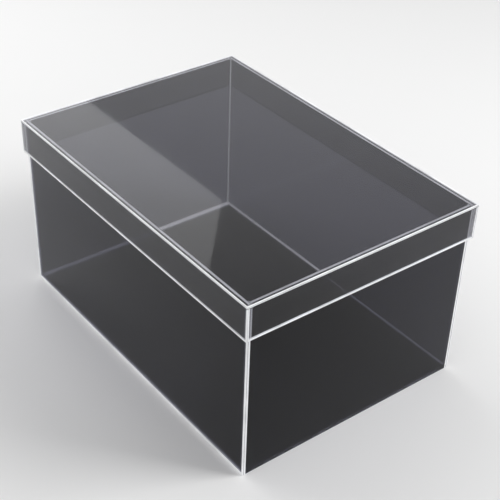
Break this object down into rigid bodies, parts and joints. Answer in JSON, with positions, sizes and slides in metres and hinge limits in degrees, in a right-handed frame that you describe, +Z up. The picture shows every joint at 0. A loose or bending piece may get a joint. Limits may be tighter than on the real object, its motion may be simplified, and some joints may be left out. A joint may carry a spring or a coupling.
{
  "type": "acrylic storage box with lid",
  "caption": "Rectangular storage box of flat smoke-tinted acrylic panes with bright edges, and a loose lid whose skirt drops over the walls.",
  "frame": {"origin": "on the surface that the box stands on, under the middle of the box", "axes": "+X along the length, +Y along the width towards the back, +Z up, the way the lid lifts off"},
  "size_m": [0.305, 0.215, 0.158],
  "materials": {
    "smoke_acrylic": "polished",
    "set_cement": "satin"
  },
  "bodies": {
    "base": {"base_floor": "smoke_acrylic", "base_front": "smoke_acrylic", "base_back": "smoke_acrylic", "base_left": "smoke_acrylic", "base_right": "smoke_acrylic", "floor_seam_front": "set_cement", "floor_seam_back": "set_cement", "floor_seam_left": "set_cement", "floor_seam_right": "set_cement", "corner_seam_front_left": "set_cement", "corner_seam_front_right": "set_cement", "corner_seam_back_left": "set_cement", "corner_seam_back_right": "set_cement"},
    "lid": {"lid_top": "smoke_acrylic", "lid_front": "smoke_acrylic", "lid_back": "smoke_acrylic", "lid_left": "smoke_acrylic", "lid_right": "smoke_acrylic", "lid_seam_front": "set_cement", "lid_seam_back": "set_cement", "lid_seam_left": "set_cement", "lid_seam_right": "set_cement", "lid_corner_seam_front_left": "set_cement", "lid_corner_seam_front_right": "set_cement", "lid_corner_seam_back_left": "set_cement", "lid_corner_seam_back_right": "set_cement"}
  },
  "joints": [
    {"name": "lid_lift", "type": "slide", "parent": "base", "child": "lid", "axis": [0, 0, 1], "range_m": [0, 0.06]}
  ]
}
